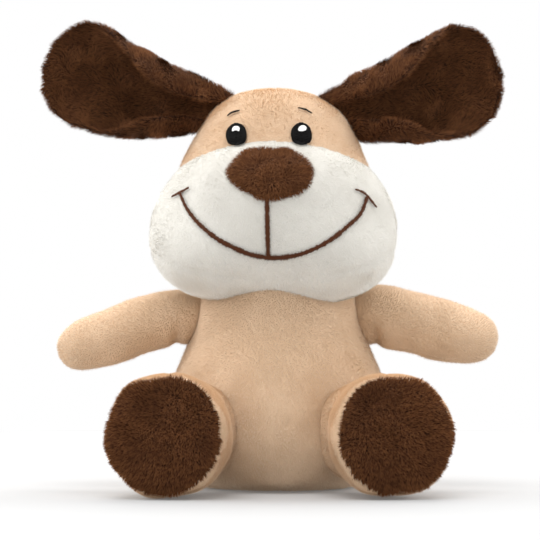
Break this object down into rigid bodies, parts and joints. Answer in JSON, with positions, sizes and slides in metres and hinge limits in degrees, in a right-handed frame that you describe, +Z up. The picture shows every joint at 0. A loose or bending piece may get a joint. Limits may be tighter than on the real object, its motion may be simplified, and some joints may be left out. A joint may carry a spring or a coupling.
{
  "type": "plush dog",
  "caption": "Sitting soft toy dog with spread arms, forward legs with sole patches, a wide muzzle, stitched face and large flat ears.",
  "frame": {"origin": "middle of the flat seat, on the surface that the toy sits on", "axes": "+Z up, +X to the dog's left, the dog faces -Y"},
  "size_m": [0.195, 0.1527, 0.195],
  "materials": {
    "tan_plush": "short tan plush, matt",
    "white_plush": "short white plush, matt",
    "brown_pile": "long brown pile, soft sheen",
    "brown_thread": "brown embroidery thread, satin",
    "black_thread": "black embroidery thread, satin",
    "white_thread": "white embroidery thread, satin",
    "fibre_filling": "loose polyester fibre",
    "pouch_cloth": "woven liner cloth around plastic pellets"
  },
  "bodies": {
    "body": {"front_panel_left": "tan_plush", "front_panel_right": "tan_plush", "back_panel_left": "tan_plush", "back_panel_right": "tan_plush", "seat_gusset": "tan_plush", "body_stuffing": "fibre_filling", "pellet_pouch": "pouch_cloth"},
    "neck": {"neck_stuffing": "fibre_filling"},
    "head": {"forehead_panel": "tan_plush", "head_back_left": "tan_plush", "head_back_right": "tan_plush", "muzzle_panel": "white_plush", "chin_panel": "white_plush", "head_stuffing": "fibre_filling", "nose": "brown_pile", "left_eye": "black_thread", "right_eye": "black_thread", "left_eye_glint": "white_thread", "right_eye_glint": "white_thread", "left_eyebrow": "brown_thread", "right_eyebrow": "brown_thread", "smile_stitching": "brown_thread", "lip_stitching": "brown_thread", "left_dimple_stitch": "brown_thread", "right_dimple_stitch": "brown_thread"},
    "left_ear": {"left_ear_front": "brown_pile", "left_ear_back": "brown_pile"},
    "right_ear": {"right_ear_front": "brown_pile", "right_ear_back": "brown_pile"},
    "left_arm": {"left_arm_front": "tan_plush", "left_arm_back": "tan_plush", "left_arm_stuffing": "fibre_filling"},
    "right_arm": {"right_arm_front": "tan_plush", "right_arm_back": "tan_plush", "right_arm_stuffing": "fibre_filling"},
    "left_leg": {"left_leg_inner": "tan_plush", "left_leg_outer": "tan_plush", "left_sole": "brown_pile", "left_leg_stuffing": "fibre_filling"},
    "right_leg": {"right_leg_inner": "tan_plush", "right_leg_outer": "tan_plush", "right_sole": "brown_pile", "right_leg_stuffing": "fibre_filling"},
    "tail": {"tail_cover": "tan_plush", "tail_stuffing": "fibre_filling"}
  },
  "joints": [
    {"name": "neck_turn", "type": "hinge", "parent": "body", "child": "neck", "pos_m": [0, 0, 0.078], "axis": [0, 0, 1], "range_deg": [-10, 10], "stiffness_Nm_per_rad": 0.5},
    {"name": "head_nod", "type": "hinge", "parent": "neck", "child": "head", "pos_m": [0, 0, 0.078], "axis": [1, 0, 0], "range_deg": [-8, 8], "stiffness_Nm_per_rad": 0.8},
    {"name": "left_ear_flop", "type": "hinge", "parent": "head", "child": "left_ear", "pos_m": [0.02746, -0.00144, 0.15854], "axis": [0.7421, -0.0389, -0.6691], "range_deg": [-35, 35], "stiffness_Nm_per_rad": 0.05},
    {"name": "right_ear_flop", "type": "hinge", "parent": "head", "child": "right_ear", "pos_m": [-0.02746, 0.00144, 0.15854], "axis": [0.7421, -0.0389, 0.6691], "range_deg": [-35, 35], "stiffness_Nm_per_rad": 0.05},
    {"name": "left_shoulder", "type": "hinge", "parent": "body", "child": "left_arm", "pos_m": [0.037, 0.004, 0.071], "axis": [0, -1, 0], "range_deg": [-6, 45], "stiffness_Nm_per_rad": 0.1},
    {"name": "right_shoulder", "type": "hinge", "parent": "body", "child": "right_arm", "pos_m": [-0.037, 0.004, 0.071], "axis": [0, 1, 0], "range_deg": [-6, 45], "stiffness_Nm_per_rad": 0.1},
    {"name": "left_hip", "type": "hinge", "parent": "body", "child": "left_leg", "pos_m": [0.033, -0.034, 0.0247], "axis": [-1, 0, 0], "range_deg": [-10, 35], "stiffness_Nm_per_rad": 0.15},
    {"name": "right_hip", "type": "hinge", "parent": "body", "child": "right_leg", "pos_m": [-0.033, -0.034, 0.0247], "axis": [-1, 0, 0], "range_deg": [-10, 35], "stiffness_Nm_per_rad": 0.15},
    {"name": "tail_wag", "type": "hinge", "parent": "body", "child": "tail", "pos_m": [0, 0.0485, 0.02], "axis": [0, 0, 1], "range_deg": [-25, 25], "stiffness_Nm_per_rad": 0.02}
  ]
}
